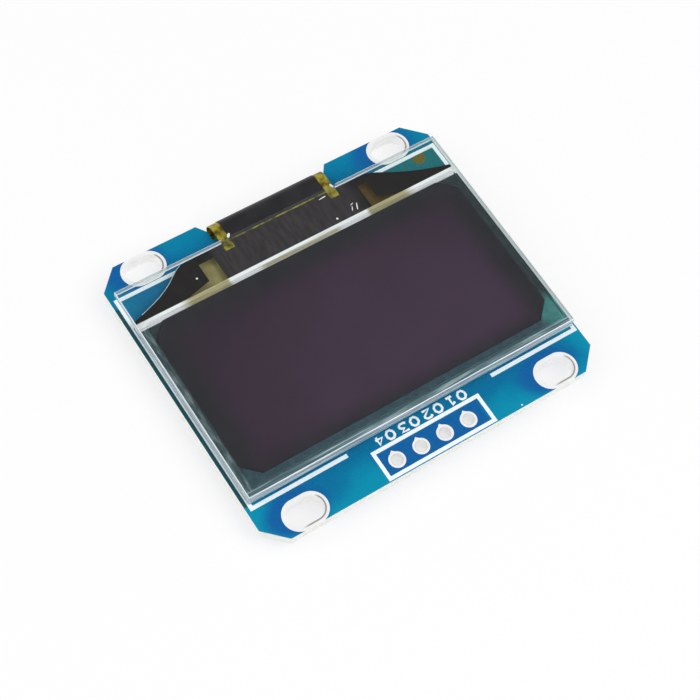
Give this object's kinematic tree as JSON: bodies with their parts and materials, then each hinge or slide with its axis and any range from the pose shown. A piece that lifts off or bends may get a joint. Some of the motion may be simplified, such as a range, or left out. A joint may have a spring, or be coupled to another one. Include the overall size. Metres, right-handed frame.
{
  "type": "small oled module",
  "caption": "Small OLED display module: dark glass panel on a blue circuit board with slotted corners, header holes, a folded flex connector and rear parts.",
  "frame": {"origin": "under the middle of the board, on the plane where the tallest rear capacitors rest", "axes": "+X along the header edge, +Y from the header edge to the flex fold, +Z out of the screen"},
  "size_m": [0.0354, 0.0306, 0.0042],
  "materials": {
    "solder_mask": "glossy blue solder mask over glass-fibre laminate",
    "tin": "satin tinned metal",
    "white_ink": "printed ink",
    "black_tape": "foam adhesive",
    "clear_glass": "polished, with cut edges",
    "seal_resin": "cured clear resin",
    "drying_sheet": "matt",
    "dark_screen": "dark, faintly purple",
    "polariser_film": "smooth dark film",
    "dark_leads": "thin dark metal film",
    "silicon": "ground grey die",
    "amber_film": "amber polyimide",
    "amber_tape": "tan polyimide tape",
    "black_cover": "satin black cover layer",
    "tan_ceramic": "sintered ceramic",
    "alumina": "white alumina",
    "dark_glaze": "black glass coat",
    "moulded_epoxy": "matt moulded epoxy"
  },
  "bodies": {
    "root": {"printed_circuit_board": "solder_mask", "slot_plating": "tin", "header_plating": "tin", "front_ink": "white_ink", "panel_tape": "black_tape", "rear_glass": "clear_glass", "drying_sheet": "drying_sheet", "seal": "seal_resin", "pixel_layer": "dark_screen", "front_glass": "clear_glass", "polariser": "polariser_film", "lead_film": "dark_leads", "driver_chip": "silicon", "bonding_film": "amber_film", "ledge_tape": "amber_tape", "flex_film": "amber_film", "flex_cover": "black_cover", "flex_solder": "tin", "rear_pads": "tin", "solder_fillets": "tin", "large_capacitor_bodies": "tan_ceramic", "large_capacitor_ends": "tin", "small_capacitor_bodies": "tan_ceramic", "small_capacitor_ends": "tin", "resistor_bodies": "alumina", "resistor_ends": "tin", "resistor_coats": "dark_glaze", "regulator_body": "moulded_epoxy", "regulator_leads": "tin", "diode_body": "moulded_epoxy", "diode_leads": "tin"}
  },
  "joints": []
}
